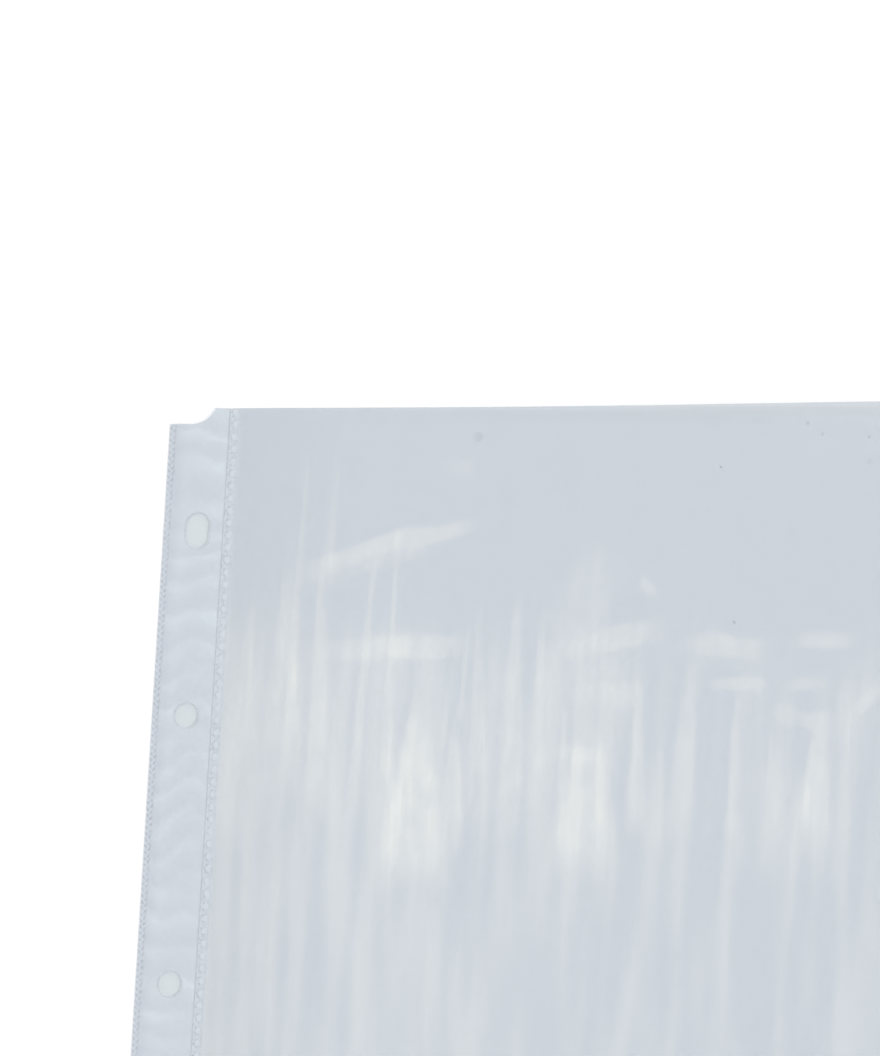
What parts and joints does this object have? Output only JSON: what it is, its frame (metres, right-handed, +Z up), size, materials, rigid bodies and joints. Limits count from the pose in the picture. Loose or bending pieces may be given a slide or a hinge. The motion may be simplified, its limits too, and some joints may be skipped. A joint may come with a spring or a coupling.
{
  "type": "document pocket",
  "caption": "Clear landscape document pocket with a punched binding strip, knurled weld bands and an open mouth along its long edge.",
  "frame": {"origin": "middle of the underside, on the surface that the pocket lies on", "axes": "+X from the binding strip to the far edge, +Y from the foot to the open mouth, +Z up"},
  "size_m": [0.321, 0.215, 0.0079],
  "materials": {
    "strip_film": "milky clear polypropylene, soft gloss, fine cross ripples",
    "pocket_film": "clear polypropylene with a faint blue-grey haze, soft gloss"
  },
  "bodies": {
    "binding_strip": {"strip_back_ply": "strip_film", "strip_front_ply": "strip_film"},
    "pocket": {"back_film": "pocket_film", "front_film": "pocket_film"}
  },
  "joints": [
    {"name": "seam_fold", "type": "hinge", "parent": "binding_strip", "child": "pocket", "pos_m": [-0.1449, 0, 0.0005], "axis": [0, -1, 0], "range_deg": [0, 150]}
  ]
}
